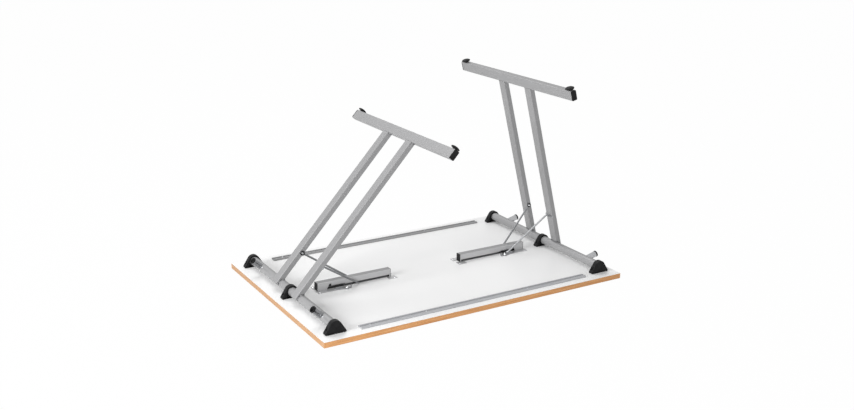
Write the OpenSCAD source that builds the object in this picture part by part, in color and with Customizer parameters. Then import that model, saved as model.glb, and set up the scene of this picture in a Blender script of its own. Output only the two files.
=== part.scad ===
// Training table with two folding leg frames, drawn as it lies for folding:
// the top rests face down and the frames stand on its underside.
// Origin: centre of the top's outer face. +X runs along the long side,
// +Y along the short side, +Z away from the face, through the underside.

/* [Top] */
// Length of the top over its edge bands
top_l = 1200; // [1180:10:1400]
// Depth of the top over its edge bands
top_w = 800; // [780:10:900]
// Thickness of the top
top_t = 19; // [16:1:28]
// Thickness of an edge band
band_t = 2; // [1:0.5:3]

/* [Pose] */
// Lean of the left frame towards the middle, from square to the top
left_lean = 42.5; // [0:0.1:90]
// Lean of the right frame towards the middle, from square to the top
right_lean = 14.4; // [0:0.1:86]

/* [Folding frames] */
// Distance from the top's short edge to a cross tube's axis
tube_inset = 62; // [55:1:70]
// Height of a cross tube's axis above the underside
tube_h = 23.5; // [22:0.5:26]
// Diameter of a cross tube
tube_d = 31; // [28:1:33]
// Wall of a cross tube
tube_wall = 2; // [1:0.5:3]
// Width of a leg, along the short side of the top
leg_w = 35; // [25:1:40]
// Thickness of a leg, across the frame's plane
leg_t = 20; // [18:1:25]
// Wall of a leg and of a foot bar
leg_wall = 1.5; // [1:0.5:2.5]
// Corner radius of a leg and of a foot bar
leg_corner = 2; // [1:0.5:4]
// Spacing of the two legs of a frame
leg_pitch = 162; // [150:1:190]
// Offset of the leg plane from the cross tube's axis, outwards
leg_offset = 13; // [11:1:14]
// Run of a leg past the cross tube's axis
leg_tail = 12; // [8:1:14]
// Distance from the cross tube's axis to the foot face
frame_h = 684; // [660:1:690]
// Height of a foot bar, along the legs
bar_h = 35; // [25:1:45]
// Thickness of a foot bar, across the frame's plane
bar_t = 20; // [16:1:24]
// Length of a foot bar without its end caps
bar_l = 682; // [640:2:700]
// Thickness of a foot bar's end cap
bar_cap_t = 4; // [2:0.5:8]

/* [Bearing blocks] */
// Width of a block where it meets the underside
block_base = 75; // [72:1:84]
// Radius of a block's crown, round the tube's axis
block_crown_r = 21.5; // [20.5:0.5:24]
// Radius of a block's feet
block_foot_r = 4; // [3:0.5:6]
// Length of a block, along the tube
block_l = 20; // [14:1:24]
// Distance from the top's near edge to the outer faces of the near end blocks
block_near_inset = 41; // [35:1:50]
// Distance from the top's far edge to the outer faces of the far end blocks
block_far_inset = 57; // [45:1:70]
// Set of the middle blocks towards the near side
block_mid_set = 10; // [0:1:16]
// Closed outer wall of an end block
block_end_wall = 3; // [2:0.5:4]
// Depth of the edge step round a block's two faces
block_rim = 1.5; // [1:0.5:3]

/* [Link sockets] */
// Diameter of a socket that takes a row connector
socket_d = 22; // [18:1:26]
// Wall of a socket
socket_wall = 2; // [1:0.5:3]
// Reach of a socket's mouth from the cross tube's axis
socket_reach = 54; // [45:1:60]
// Thickness of a socket's floor at the tube's crown
socket_floor = 2.5; // [2:0.5:4]
// Distance from a near end block to its socket's axis
socket_near_gap = 70; // [40:1:100]
// Distance from a far end block to its socket's axis
socket_far_gap = 84; // [40:1:100]

/* [Struts] */
// Length of a strut between its pins, seen from the side
strut_l = 212.5; // [210:0.5:214]
// Diameter of a strut
strut_d = 7; // [5:0.5:8]
// Distance of a strut's upper pin from the cross tube's axis, along the leg
strut_pin_u = 126; // [120:1:130]
// Set of the upper pin from the leg's middle, towards the middle of the top
strut_pin_in = 2; // [0:0.5:6]
// Distance from the middle to a strut's lower bend
strut_foot_y = 22; // [20:0.5:22]
// Diameter of a strut's upper eye
eye_d = 16; // [12:1:18]
// Thickness of a strut's upper eye
eye_t = 4; // [3:0.5:6]

/* [Slide housings] */
// Distance from a slot's outer end to its housing's outer end
slot_end_inset = 37; // [35:1:45]
// Length of a housing over its end caps
housing_l = 292; // [288:1:296]
// Width of a housing
housing_w = 24; // [22:1:30]
// Height of a housing
housing_h = 30; // [26:1:40]
// Sheet thickness of a housing
housing_wall = 2; // [1:0.5:2.5]
// Outer radius of a housing's folded edges
housing_fold_r = 2.5; // [2:0.5:4]
// Thickness of a housing's foot flanges
flange_t = 1.5; // [1:0.5:1.5]
// Distance from the middle to the outer edge of a foot flange
flange_y = 34; // [32:1:38]
// Reach of the inner foot flange past the housing
flange_out = 16; // [14:1:20]
// Length of the inner foot flange
flange_l = 34; // [30:1:40]
// Thickness of a housing's end cap
housing_cap_t = 1.5; // [1:0.5:2]
// Length of the sliding block
slider_l = 14; // [12:1:14]
// Height of the sliding block
slider_h = 20; // [14:1:24]

/* [Latch hooks] */
// Distance from a cross tube's axis to its latch hook's screw
latch_reach = 200; // [196:1:204]
// Distance from the middle to a latch hook's screw
latch_y = 36; // [36:0.5:38]
// Reach of the hook from its screw, outwards
latch_arm = 45; // [40:1:46]
// Width of the hook's arm
latch_w = 6; // [5:0.5:7]
// Sheet thickness of the hook
latch_t = 2; // [1.5:0.5:2]

/* [Stiffening rails] */
// Mean distance from the ends of a rail to the short edges of the top
rail_end_gap = 142; // [120:1:200]
// Place of the rails' middle, towards the right
rail_x = 6; // [0:1:20]
// Width of a rail
rail_w = 26; // [20:1:32]
// Height of a rail
rail_h = 6; // [4:0.5:12]
// Distance from the top's long edge to a rail's centre line
rail_inset = 44; // [35:1:50]
// Number of screws in a rail
rail_screws = 5; // [2:1:7]

/* [Levelling glides] */
// Diameter of a glide's foot
glide_d = 30; // [24:1:34]
// Height of a glide's domed foot
glide_dome_h = 7; // [5:0.5:10]
// Height of a glide's collar
glide_collar_h = 4; // [3:0.5:6]
// Diameter of a glide's threaded stem
stem_d = 8; // [6:1:10]
// Length of a glide's stem inside the foot bar
stem_l = 22; // [18:1:28]
// Distance from a foot bar's end to a glide's axis
glide_inset = 16; // [13:1:60]

/* [Screws] */
// Diameter of a screw's shank
shank_d = 3.5; // [3:0.5:4.5]
// Diameter of a screw's head
head_d = 8; // [7:0.5:9]
// Height of a screw's head
head_h = 2.2; // [1.5:0.1:2.5]
// Depth of a screw in the board
bite = 13; // [8:1:14]

/* [Hidden] */

$fn = 48;
left = -1;
right = 1;
near = -1;
far = 1;

// Overrun of every cut past the face that it opens
over = 1;
// Share of a screw head's diameter that is left at its top
head_share = 0.7;
// Running clearance of the tubes in their blocks and of the pins in their bores, on the radius
run_gap = 0.1;
// Sliding clearance of a piece that travels beside another
slide_gap = 0.3;
// Free height under and over a strut's foot in its slot
slot_gap = 0.5;
// Free length between a cross tube's end and its block
tube_end_gap = 0.5;

tube_x = top_l / 2 - tube_inset;
tube_z = top_t + tube_h;
block_near_y = top_w / 2 - block_near_inset;
block_far_y = top_w / 2 - block_far_inset;
tube_y0 = -block_near_y + block_end_wall + tube_end_gap;
tube_y1 = block_far_y - block_end_wall - tube_end_gap;
leg_y = leg_pitch / 2;
leg_inner_y = leg_y - leg_w / 2;
socket_near_y = -block_near_y + block_l + socket_near_gap;
socket_far_y = block_far_y - block_l - socket_far_gap;
bar_u = frame_h - bar_h;
socket_screw_step = 17;
socket_screw_turn = 90;
socket_screw_h = 2;
cap_plug_l = 12;
cap_corner = 3;

// Profile of a bearing block
block_foot_x = block_base / 2 - block_foot_r;
block_crown_z = tube_h;
block_h = block_crown_z + block_crown_r;
block_screw_inset = 8.8;
block_screw_x = block_base / 2 - block_screw_inset;
block_screw_z = 7;
block_panel_inset = 4;
block_panel_depth = 1;
block_panel_r = 2;
block_panel_x = 30.5;
block_ring_wall = 4;
block_web = 4;
block_core_x = 24;
block_core_z = 3;
block_core_top_x = 17;
block_head_d = 7;
block_pocket_d = 8;

// Lower end of the struts, in the slots beside the housings
pin_r = strut_d / 2;
pin_z = top_t + flange_t + slot_gap + pin_r;
slot_top = pin_z + pin_r + slot_gap;
foot_in_y = 2;
bend_r = 6;
strut_top_y = leg_inner_y - slide_gap - eye_t / 2;
strut_pin_v = leg_offset - strut_pin_in;
washer_d = 16;
washer_t = 1.2;
bolt_head_d = 9;
bolt_head_h = 3.5;
bolt_head_share = 0.6;
bolt_hole_d = 6;

// Housing: channel between the caps, slots in its two side walls and the latch notch
slot_end_reach = 134;
slot_end_x = tube_x - slot_end_reach;
housing_x = slot_end_x + slot_end_inset - housing_l;
channel_x = housing_x + housing_cap_t;
channel_l = housing_l - 2 * housing_cap_t;
channel_in_w = housing_w - 2 * housing_wall;
slot_inset = 3.5;
slot_x = channel_x + slot_inset;
slot_slant = 10;
notch_l = 18;
notch_x = slot_end_x - notch_l;
notch_rise = 11;
wedge_l = 54;
wedge_x = notch_x - wedge_l;
wedge_rise = 3;
cap_tongue = 2;
slider_z = top_t + slide_gap;
outer_flange_inset = 23;
outer_flange_x = housing_x + housing_l - outer_flange_inset;
latch_x = tube_x - latch_reach;
near_flange_x = latch_x - latch_w;
ear_r = 8;
flange_screw_y = 28;
flange_screw_inset = 8;
outer_flange_l = 28;
marking_d = 2.5;
marking_inset = 12;

// Latch hook: its flat body lies on the ear, outside the struts' path
latch_boss_r = 6.5;
latch_lift = 0.2;
latch_z = top_t + flange_t + latch_lift;
latch_rib_x = 12;
latch_rib_h = 6.5;
latch_rib_gap = 1;
latch_rib_y = latch_y - strut_foot_y - pin_r - latch_rib_gap;
latch_tail = 18;
latch_tab_h = 12;
latch_screw_d = 5;
latch_screw_head_d = 9;
latch_screw_head_h = 6;

rail_l = top_l - 2 * rail_end_gap;
rail_y = top_w / 2 - rail_inset;
rail_groove_w = 9;
rail_groove_d = 2;
rail_chamfer = 2.5;
rail_end_inset = 40;

glide_y = bar_l / 2 - glide_inset;
glide_collar_d = 15;
nut_d = 14;
nut_h = 10;
glide_rim_h = 3;
glide_chamfer = 1;
dome_out_d_share = 0.84;
dome_out_h_share = 0.75;
dome_in_d_share = 0.5;
dome_in_h_share = 0.95;

function lean(side) = side < 0 ? left_lean : right_lean;
function block_y0(k) = k < 0 ? -block_near_y : k > 0 ? block_far_y - block_l : -block_mid_set - block_l / 2;
function block_y1(k) = block_y0(k) + block_l;
function pin_top_x(a) = tube_x - strut_pin_u * sin(a) + strut_pin_v * cos(a);
function pin_top_z(a) = tube_z + strut_pin_u * cos(a) + strut_pin_v * sin(a);
function pin_rise(a) = pin_top_z(a) - pin_z;
function strut_angle(a) = asin(pin_rise(a) / strut_l);
function pin_foot_x(a) = pin_top_x(a) - strut_l * cos(strut_angle(a));
function rail_screw_x(i) = rail_x + (rail_l / 2 - rail_end_inset) * (2 * i / (rail_screws - 1) - 1);

// Places of the wood screws in the board, on the right half
block_places = [
    for (k = [-1 : 1], s = [-1, 1]) [tube_x + s * block_screw_x, (block_y0(k) + block_y1(k)) / 2]
];
flange_places = [
    [housing_x - flange_out + flange_screw_inset, -flange_screw_y],
    [housing_x - flange_out + flange_screw_inset, flange_screw_y],
    [outer_flange_x + outer_flange_l - flange_screw_inset, -flange_screw_y],
    [outer_flange_x + outer_flange_l - flange_screw_inset, flange_screw_y]
];

// Puts a piece that is drawn for the right half on either half
module on_side(side) {
    mirror([side < 0 ? 1 : 0, 0, 0]) children();
}

// Puts a piece drawn upright on the tube's axis, +X outwards, in its frame's pose
module on_frame(side) {
    on_side(side) translate([tube_x, 0, tube_z]) rotate([0, -lean(side), 0]) children();
}

// Puts a piece drawn from the slider's pin, +X up the strut, in its pose
module on_strut(side) {
    on_side(side)
        translate([pin_foot_x(lean(side)), 0, pin_z])
            rotate([0, -strut_angle(lean(side)), 0]) children();
}

module along_y(y0, y1, r) {
    translate([0, y0, 0]) rotate([-90, 0, 0]) cylinder(h = y1 - y0, r = r);
}

module along_x(x0, x1, r) {
    translate([x0, 0, 0]) rotate([0, 90, 0]) cylinder(h = x1 - x0, r = r);
}

module rounded_rect(w, d, r) {
    square([w - 2 * r, d], center = true);
    square([w, d - 2 * r], center = true);
    for (x = [-1, 1], y = [-1, 1])
        translate([x * (w / 2 - r), y * (d / 2 - r)]) circle(r = r);
}

// Section of a folded sheet: square feet and two round upper corners
module folded_rect(w, h, r) {
    translate([-w / 2, 0]) square([w, h - r]);
    translate([-w / 2 + r, 0]) square([w - 2 * r, h]);
    for (x = [-1, 1]) translate([x * (w / 2 - r), h - r]) circle(r = r);
}

module box_tube(w, d, wall, corner, l) {
    linear_extrude(l) difference() {
        rounded_rect(w, d, corner);
        square([w - 2 * wall, d - 2 * wall], center = true);
    }
}

// Wood screw standing head up, its head's seat at zero
module screw(seat_depth, d) {
    cylinder(h = head_h, d1 = d, d2 = d * head_share);
    translate([0, 0, -seat_depth - bite]) cylinder(h = seat_depth + bite, d = shank_d);
}

module pilot_holes(places) {
    for (p = places)
        translate([p[0], p[1], top_t - bite]) cylinder(h = bite + over, d = shank_d);
}

module top_board() {
    color("white") difference() {
        translate([-top_l / 2 + band_t, -top_w / 2 + band_t, 0])
            cube([top_l - 2 * band_t, top_w - 2 * band_t, top_t]);
        for (side = [left, right]) on_side(side) {
            pilot_holes(block_places);
            pilot_holes(flange_places);
            pilot_holes([[latch_x, -latch_y]]);
        }
        for (y = [-rail_y, rail_y], i = [0 : rail_screws - 1])
            pilot_holes([[rail_screw_x(i), y]]);
    }
}

module long_edge_bands() {
    color("burlywood") for (s = [near, far])
        translate([-top_l / 2, s * (top_w / 2 - band_t / 2) - band_t / 2, 0])
            cube([top_l, band_t, top_t]);
}

module short_edge_bands() {
    color("burlywood") for (s = [left, right])
        translate([s * (top_l / 2 - band_t / 2) - band_t / 2, -top_w / 2 + band_t, 0])
            cube([band_t, top_w - 2 * band_t, top_t]);
}

// Rolled rail: chamfered flanks and a groove that takes the screw heads
module rail(y) {
    color("silver") translate([0, y, top_t]) difference() {
        translate([rail_x, 0, 0]) rotate([90, 0, 90]) linear_extrude(rail_l, center = true) polygon([
            [-rail_w / 2, 0], [rail_w / 2, 0], [rail_w / 2, rail_h - rail_chamfer],
            [rail_w / 2 - rail_chamfer, rail_h], [rail_groove_w / 2, rail_h],
            [rail_groove_w / 2, rail_h - rail_groove_d], [-rail_groove_w / 2, rail_h - rail_groove_d],
            [-rail_groove_w / 2, rail_h], [-rail_w / 2 + rail_chamfer, rail_h],
            [-rail_w / 2, rail_h - rail_chamfer]
        ]);
        for (i = [0 : rail_screws - 1])
            translate([rail_screw_x(i), 0, -over]) cylinder(h = rail_h + 2 * over, d = shank_d);
    }
}

module rail_screw_set() {
    color("gainsboro") for (y = [-rail_y, rail_y], i = [0 : rail_screws - 1])
        translate([rail_screw_x(i), y, top_t + rail_h - rail_groove_d])
            screw(rail_h - rail_groove_d, head_d);
}

module block_profile(inset) {
    hull() {
        translate([0, block_crown_z]) circle(r = block_crown_r - inset, $fn = 32);
        for (s = [-1, 1])
            translate([s * block_foot_x, block_foot_r]) circle(r = block_foot_r - inset, $fn = 32);
        translate([-block_foot_x, inset > 0 ? block_foot_r - inset : 0])
            square([2 * block_foot_x, block_foot_r]);
    }
}

// Sunk field of an end block's closed face
module block_panel() {
    hull() {
        translate([0, block_crown_z]) circle(r = block_crown_r - block_panel_inset, $fn = 32);
        for (s = [-1, 1]) translate([s * block_panel_x, block_panel_inset + block_panel_r])
            circle(r = block_panel_r, $fn = 16);
    }
}

// Space under the ring that is cored out down to a thin web
module block_core() {
    difference() {
        polygon([
            [-block_core_x, block_core_z], [block_core_x, block_core_z],
            [block_core_top_x, block_crown_z], [-block_core_top_x, block_crown_z]
        ]);
        translate([0, block_crown_z]) circle(r = tube_d / 2 + block_ring_wall);
    }
}

// Bearing block: a moulded ring on two feet round the cross tube.
// An end block is closed on its outer side.
module bearing(side, k) {
    y0 = block_y0(k);
    y1 = block_y1(k);
    b0 = k < 0 ? y0 + block_end_wall : y0 - over;
    b1 = k > 0 ? y1 - block_end_wall : y1 + over;
    color("dimgray") on_side(side) translate([tube_x, 0, top_t]) difference() {
        union() {
            translate([0, y1 - block_rim, 0]) rotate([90, 0, 0])
                linear_extrude(y1 - y0 - 2 * block_rim) block_profile(0);
            translate([0, y1, 0]) rotate([90, 0, 0]) linear_extrude(y1 - y0) block_profile(block_rim / 2);
        }
        translate([0, 0, tube_h]) along_y(b0, b1, tube_d / 2 + run_gap);
        if (k != 0) translate([0, k < 0 ? y0 + block_panel_depth : y1 + over, 0]) rotate([90, 0, 0])
            linear_extrude(block_panel_depth + over) block_panel();
        if (k >= 0) translate([0, (y0 + y1 - block_web) / 2, 0]) rotate([90, 0, 0])
            linear_extrude(y1 - y0) block_core();
        if (k <= 0) translate([0, (y0 + y1 + block_web) / 2 + y1 - y0, 0]) rotate([90, 0, 0])
            linear_extrude(y1 - y0) block_core();
        for (s = [-1, 1]) translate([s * block_screw_x, (y0 + y1) / 2, 0]) {
            translate([0, 0, -over]) cylinder(h = block_h, d = shank_d);
            translate([0, 0, block_screw_z]) cylinder(h = block_h, d = block_pocket_d);
        }
    }
}

module bearing_screw_set() {
    color("dimgray") for (side = [left, right]) on_side(side) for (p = block_places)
        translate([p[0], p[1], top_t + block_screw_z]) screw(block_screw_z, block_head_d);
}

module cross_tube(side) {
    color("silver") on_frame(side) difference() {
        along_y(tube_y0, tube_y1, tube_d / 2);
        along_y(tube_y0 - over, tube_y1 + over, tube_d / 2 - tube_wall);
    }
}

// Leg: box tube, coped over the outer half of the cross tube
module leg(side, s) {
    color("silver") on_frame(side) difference() {
        translate([leg_offset, s * leg_y, -leg_tail])
            box_tube(leg_t, leg_w, leg_wall, leg_corner, bar_u + leg_tail);
        along_y(tube_y0, tube_y1, tube_d / 2);
    }
}

module foot_bar(side) {
    color("silver") on_frame(side) translate([leg_offset, 0, bar_u + bar_h / 2]) difference() {
        translate([0, bar_l / 2, 0]) rotate([90, 0, 0])
            box_tube(bar_t, bar_h, leg_wall, leg_corner, bar_l);
        for (s = [near, far])
            translate([0, s * glide_y, 0]) cylinder(h = bar_h / 2 + over, d = stem_d + 2 * run_gap);
    }
}

module foot_caps(side) {
    plug_gap = slide_gap / 2;
    color("dimgray") on_frame(side) translate([leg_offset, 0, bar_u + bar_h / 2])
        for (s = [near, far]) mirror([0, s < 0 ? 1 : 0, 0]) difference() {
            union() {
                translate([0, bar_l / 2 + bar_cap_t, 0]) rotate([90, 0, 0])
                    linear_extrude(bar_cap_t) rounded_rect(bar_t, bar_h, cap_corner);
                translate([0, bar_l / 2, 0]) rotate([90, 0, 0]) linear_extrude(cap_plug_l)
                    square([bar_t - 2 * leg_wall - 2 * plug_gap, bar_h - 2 * leg_wall - 2 * plug_gap],
                        center = true);
            }
            translate([0, glide_y, 0]) cylinder(h = bar_h, d = nut_d + 2 * slide_gap, center = true);
        }
}

// Nut that is pressed into the foot bar's outer wall and takes a glide's stem
module glide_nuts(side) {
    color("gainsboro") on_frame(side) for (s = [near, far])
        translate([leg_offset, s * glide_y, frame_h - leg_wall - nut_h]) difference() {
            cylinder(h = nut_h, d = nut_d);
            translate([0, 0, -over]) cylinder(h = nut_h + 2 * over, d = stem_d + 2 * run_gap);
        }
}

module glide(side, s) {
    color("dimgray") on_frame(side) translate([leg_offset, s * glide_y, frame_h + slide_gap]) {
        rotate_extrude() polygon([
            [0, 0], [glide_collar_d / 2, 0], [glide_collar_d / 2, glide_collar_h],
            [glide_d / 2 - glide_chamfer, glide_collar_h], [glide_d / 2, glide_collar_h + glide_chamfer],
            [glide_d / 2, glide_collar_h + glide_rim_h],
            [glide_d / 2 * dome_out_d_share, glide_collar_h + glide_dome_h * dome_out_h_share],
            [glide_d / 2 * dome_in_d_share, glide_collar_h + glide_dome_h * dome_in_h_share],
            [0, glide_collar_h + glide_dome_h]
        ]);
        translate([0, 0, -slide_gap - stem_l]) cylinder(h = stem_l + slide_gap, d = stem_d);
    }
}

// Open round sockets on the cross tube, which take the connectors of a row of tables
module link_sockets(side) {
    color("gainsboro") on_frame(side) for (y = [socket_near_y, socket_far_y]) translate([0, y, 0]) difference() {
        along_x(tube_d / 4, socket_reach, socket_d / 2);
        along_x(tube_d / 2 + socket_floor, socket_reach + over, socket_d / 2 - socket_wall);
        along_y(-socket_d, socket_d, tube_d / 2);
    }
}

// Screws that hold the sockets, on the tube beside them
module socket_screws(side) {
    color("gainsboro") on_frame(side) for (y = [socket_near_y, socket_far_y])
        translate([0, y - socket_screw_step, 0]) rotate([0, socket_screw_turn, 0])
            difference() {
                translate([0, 0, tube_d / 2 - tube_wall])
                    cylinder(h = tube_wall + socket_screw_h, d1 = head_d, d2 = head_d * head_share);
                along_y(-head_d, head_d, tube_d / 2);
            }
}

// Slide housing: an inverted channel with a slot along the foot of each side wall,
// a latch notch at the slots' outer ends, and foot flanges for its screws
module housing(side) {
    flange_in_y = channel_in_w / 2;
    color("silver") on_side(side) difference() {
        union() {
            translate([channel_x, 0, top_t]) rotate([90, 0, 90]) linear_extrude(channel_l)
                folded_rect(housing_w, housing_h, housing_fold_r);
            for (s = [-1, 1]) mirror([0, s < 0 ? 1 : 0, 0]) {
                translate([housing_x - flange_out, flange_in_y, top_t])
                    cube([flange_l, flange_y - flange_in_y, flange_t]);
                translate([outer_flange_x, flange_in_y, top_t])
                    cube([outer_flange_l, flange_y - flange_in_y, flange_t]);
            }
            translate([near_flange_x, -flange_y, top_t])
                cube([outer_flange_x - near_flange_x + over, flange_y - flange_in_y, flange_t]);
            translate([latch_x, -latch_y, top_t]) cylinder(h = flange_t, r = ear_r);
        }
        translate([channel_x - over, -channel_in_w / 2, top_t - over])
            cube([channel_l + 2 * over, channel_in_w, housing_h - housing_wall + over]);
        translate([0, housing_w / 2 + over, 0]) rotate([90, 0, 0]) linear_extrude(housing_w + 2 * over)
            polygon([
                [slot_x, top_t + flange_t], [slot_end_x, top_t + flange_t],
                [slot_end_x - slot_slant, slot_top + notch_rise], [notch_x, slot_top + notch_rise],
                [notch_x, slot_top + wedge_rise], [wedge_x + wedge_rise, slot_top + wedge_rise],
                [wedge_x, slot_top], [slot_x, slot_top]
            ]);
        translate([0, 0, -over]) for (p = flange_places)
            translate([p[0], p[1], 0]) cylinder(h = top_t + flange_t + 2 * over, d = shank_d);
        translate([latch_x, -latch_y, top_t - over]) cylinder(h = flange_t + 2 * over, d = latch_screw_d);
        for (x = [channel_x + marking_inset, channel_x + channel_l - marking_inset])
            translate([x, 0, top_t + housing_h - housing_wall - over])
                cylinder(h = housing_wall + 2 * over, d = marking_d);
    }
}

module housing_cap_set() {
    plug_w = channel_in_w - slide_gap;
    plug_h = housing_h - housing_wall - slide_gap;
    color("dimgray") for (side = [left, right]) on_side(side)
        for (e = [[housing_x, 0], [housing_x + housing_l - housing_cap_t, 1]])
            translate([e[0], 0, top_t]) {
                translate([0, -housing_w / 2, flange_t])
                    cube([housing_cap_t, housing_w, housing_h - flange_t]);
                translate([e[1] == 0 ? housing_cap_t : -cap_tongue, -plug_w / 2, slide_gap])
                    cube([cap_tongue, plug_w, plug_h - slide_gap]);
            }
}

module housing_screw_set() {
    color("gainsboro") for (side = [left, right]) on_side(side) for (p = flange_places)
        translate([p[0], p[1], top_t + flange_t]) screw(flange_t, head_d);
}

module slider(side) {
    w = channel_in_w - 2 * slide_gap;
    color("gray") on_side(side) translate([pin_foot_x(lean(side)), 0, slider_z]) difference() {
        translate([-slider_l / 2, -w / 2, 0]) cube([slider_l, w, slider_h]);
        translate([0, 0, pin_z - slider_z]) along_y(-housing_w, housing_w, pin_r + run_gap);
    }
}

// Strut: a round rod, bent inwards at its foot and flattened to an eye at its top
module strut(side, s) {
    spread = strut_top_y - strut_foot_y;
    splay = atan(spread / strut_l);
    turn = 90 - splay;
    bend_run = bend_r * tan(turn / 2);
    color("gainsboro") on_strut(side) mirror([0, s < 0 ? 1 : 0, 0]) {
        along_y(foot_in_y, strut_foot_y - bend_run, pin_r);
        translate([bend_r, strut_foot_y - bend_run, 0]) rotate([0, 0, 180 - turn])
            rotate_extrude(angle = turn) translate([bend_r, 0]) circle(r = pin_r);
        difference() {
            union() {
                translate([0, strut_foot_y, 0]) rotate([0, 0, splay])
                    along_x(bend_run, (strut_l - eye_d / 4) / cos(splay), pin_r);
                translate([strut_l, strut_top_y, 0]) along_y(-eye_t / 2, eye_t / 2, eye_d / 2);
            }
            translate([strut_l, strut_top_y, 0]) along_y(-eye_t, eye_t, bolt_hole_d / 2);
            translate([strut_l - eye_d, strut_top_y + eye_t / 2, -eye_d]) cube(2 * eye_d);
            translate([strut_l - eye_d / 2, strut_top_y - eye_t / 2 - 2 * eye_d, -eye_d]) cube(2 * eye_d);
        }
    }
}

module strut_washers(side) {
    color("dimgray") on_strut(side) for (s = [near, far]) mirror([0, s < 0 ? 1 : 0, 0])
        translate([strut_l, strut_top_y - eye_t / 2 - washer_t, 0]) difference() {
            along_y(0, washer_t, washer_d / 2);
            along_y(-over, washer_t + over, bolt_hole_d / 2);
        }
}

module strut_bolts(side) {
    y_head = strut_top_y - eye_t / 2 - washer_t;
    color("gainsboro") on_strut(side) for (s = [near, far]) mirror([0, s < 0 ? 1 : 0, 0])
        translate([strut_l, y_head, 0]) {
            along_y(0, eye_t + washer_t, bolt_hole_d / 2);
            rotate([90, 0, 0]) cylinder(h = bolt_head_h, d1 = bolt_head_d, d2 = bolt_head_d * bolt_head_share);
        }
}

// Latch hook: a plate that swings on its screw, with an upright rib along the strut's path
module latch_hook(side) {
    color("gray") on_side(side) translate([latch_x, -latch_y, latch_z]) difference() {
        union() {
            cylinder(h = latch_t, r = latch_boss_r);
            linear_extrude(latch_t) polygon([
                [0, -latch_w / 2], [latch_arm - latch_w, latch_w / 2], [latch_arm, latch_rib_y],
                [latch_rib_x, latch_rib_y], [-latch_t, latch_w / 2], [-latch_tail, latch_w / 2],
                [-latch_tail, -latch_w / 2]
            ]);
            translate([latch_rib_x, latch_rib_y - latch_t, 0])
                cube([latch_arm - latch_rib_x - latch_w / 2, latch_t, latch_rib_h]);
            translate([-latch_tail, -latch_w / 2, 0]) cube([latch_t, latch_w, latch_tab_h]);
        }
        translate([0, 0, -over]) cylinder(h = latch_t + 2 * over, d = latch_screw_d + 2 * run_gap);
    }
}

module latch_screw_set() {
    head_z = latch_z + latch_t + run_gap;
    color("gainsboro") for (side = [left, right]) on_side(side) translate([latch_x, -latch_y, 0]) {
        translate([0, 0, top_t - bite]) cylinder(h = bite, d = shank_d);
        translate([0, 0, top_t]) cylinder(h = head_z - top_t, d = latch_screw_d);
        translate([0, 0, head_z])
            cylinder(h = latch_screw_head_h, d1 = latch_screw_head_d, d2 = latch_screw_head_d * head_share);
    }
}

top_board();
long_edge_bands();
short_edge_bands();
rail(-rail_y);  // near_rail
rail(rail_y);  // far_rail
rail_screw_set();  // rail_screws
bearing(left, near);  // left_near_bearing
bearing(left, 0);  // left_middle_bearing
bearing(left, far);  // left_far_bearing
bearing(right, near);  // right_near_bearing
bearing(right, 0);  // right_middle_bearing
bearing(right, far);  // right_far_bearing
bearing_screw_set();  // bearing_screws
housing(left);  // left_housing
housing(right);  // right_housing
housing_cap_set();  // housing_end_caps
housing_screw_set();  // housing_screws
cross_tube(left);  // left_cross_tube
leg(left, near);  // left_near_leg
leg(left, far);  // left_far_leg
foot_bar(left);  // left_foot_bar
foot_caps(left);  // left_foot_caps
link_sockets(left);  // left_link_sockets
socket_screws(left);  // left_socket_screws
glide_nuts(left);  // left_glide_nuts
cross_tube(right);  // right_cross_tube
leg(right, near);  // right_near_leg
leg(right, far);  // right_far_leg
foot_bar(right);  // right_foot_bar
foot_caps(right);  // right_foot_caps
link_sockets(right);  // right_link_sockets
socket_screws(right);  // right_socket_screws
glide_nuts(right);  // right_glide_nuts
slider(left);  // left_slider
slider(right);  // right_slider
strut(left, near);  // left_near_strut
strut(left, far);  // left_far_strut
strut_bolts(left);  // left_strut_bolts
strut_washers(left);  // left_strut_washers
strut(right, near);  // right_near_strut
strut(right, far);  // right_far_strut
strut_bolts(right);  // right_strut_bolts
strut_washers(right);  // right_strut_washers
latch_hook(left);  // left_latch_hook
latch_hook(right);  // right_latch_hook
latch_screw_set();  // latch_screws
glide(left, near);  // left_near_glide
glide(left, far);  // left_far_glide
glide(right, near);  // right_near_glide
glide(right, far);  // right_far_glide
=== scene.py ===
"""Looks of a training table with folding leg frames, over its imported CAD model.

The table lies face down. Sizes are in millimetres until a mesh is finished in the row's metres.
"""

from __future__ import annotations

import logging
import math
import sys
from collections.abc import Iterable, Mapping, Sequence
from dataclasses import dataclass, field
from enum import Enum

import bmesh
import bpy
from mathutils import Matrix, Vector


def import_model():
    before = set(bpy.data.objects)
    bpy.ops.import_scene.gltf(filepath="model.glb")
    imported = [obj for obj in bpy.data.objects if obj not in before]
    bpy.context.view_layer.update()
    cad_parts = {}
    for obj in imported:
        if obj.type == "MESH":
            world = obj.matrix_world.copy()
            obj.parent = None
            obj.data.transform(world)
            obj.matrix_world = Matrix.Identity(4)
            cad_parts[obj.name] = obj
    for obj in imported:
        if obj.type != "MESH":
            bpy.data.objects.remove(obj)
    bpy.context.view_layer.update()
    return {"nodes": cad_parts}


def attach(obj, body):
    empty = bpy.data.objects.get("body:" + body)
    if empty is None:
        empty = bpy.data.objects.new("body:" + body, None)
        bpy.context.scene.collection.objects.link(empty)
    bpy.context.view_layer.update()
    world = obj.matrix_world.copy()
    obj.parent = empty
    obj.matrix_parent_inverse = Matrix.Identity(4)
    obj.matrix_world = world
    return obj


Colour = tuple[float, float, float, float]
Triple = tuple[float, float, float]
Span = tuple[float, float]
Inputs = dict[int | str, object]

LOG = logging.getLogger("training_table")
MM = 0.001
WHITE: Colour = (1.0, 1.0, 1.0, 1.0)
MIRROR_AXIS: Triple = (1.0, 0.0, 0.0)
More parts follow.
